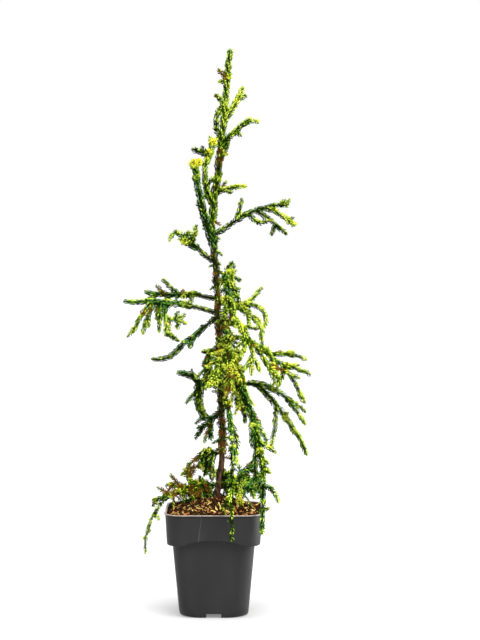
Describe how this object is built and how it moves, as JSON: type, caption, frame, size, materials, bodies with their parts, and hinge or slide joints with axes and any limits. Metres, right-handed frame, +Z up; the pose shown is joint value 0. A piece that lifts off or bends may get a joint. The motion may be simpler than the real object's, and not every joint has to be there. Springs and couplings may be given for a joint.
{
  "type": "potted japanese cedar",
  "caption": "Slender young weeping Japanese cedar with rope-like gold-green shoots on arching boughs, in a square collared nursery pot of growing medium.",
  "frame": {"origin": "middle of the pot's flat underside, where it rests on the ground", "axes": "+Z up along the trunk, +X to the right and +Y to the back as the plant is seen from its front"},
  "size_m": [0.2873, 0.2121, 0.8643],
  "materials": {
    "pot_plastic": "satin",
    "growing_medium": "matte",
    "bark": "matte",
    "foliage_dark": "matte",
    "foliage_green": "matte",
    "foliage_lime": "matte",
    "foliage_gold": "matte"
  },
  "bodies": {
    "root": {"pot": "pot_plastic", "growing_medium": "growing_medium", "trunk": "bark", "bough_upper_right": "bark", "bough_upper_left": "bark", "bough_tier_left_upper": "bark", "bough_tier_left": "bark", "bough_low_left": "bark", "bough_tier_right": "bark", "bough_arch_right": "bark", "bough_right_fan": "bark", "bough_low_right": "bark", "bough_right_curtain": "bark", "bough_front_curtain": "bark", "bough_left_arm": "bark", "bough_back_upper": "bark", "bough_back_high": "bark", "bough_back_low": "bark", "bough_front_high": "bark", "foliage_leader": "foliage_lime", "foliage_left_leader": "foliage_green", "foliage_upper_right": "foliage_lime", "foliage_upper_left": "foliage_green", "foliage_tier_left_upper": "foliage_green", "foliage_tier_left": "foliage_green", "foliage_low_left": "foliage_dark", "foliage_tier_right": "foliage_lime", "foliage_arch_right": "foliage_gold", "foliage_right_fan": "foliage_lime", "foliage_low_right": "foliage_lime", "foliage_right_curtain": "foliage_green", "foliage_front_curtain": "foliage_lime", "foliage_left_arm": "foliage_dark", "foliage_low_left_twigs": "foliage_dark", "foliage_heart_left": "foliage_dark", "foliage_heart_front": "foliage_gold", "foliage_heart_right": "foliage_gold", "foliage_back_upper": "foliage_dark", "foliage_back_high": "foliage_green", "foliage_back_low": "foliage_green", "foliage_front_high": "foliage_gold", "foliage_base_left": "foliage_green", "foliage_base_left_upper": "foliage_dark", "foliage_base_right": "foliage_dark", "foliage_base_back": "foliage_green"}
  },
  "joints": []
}
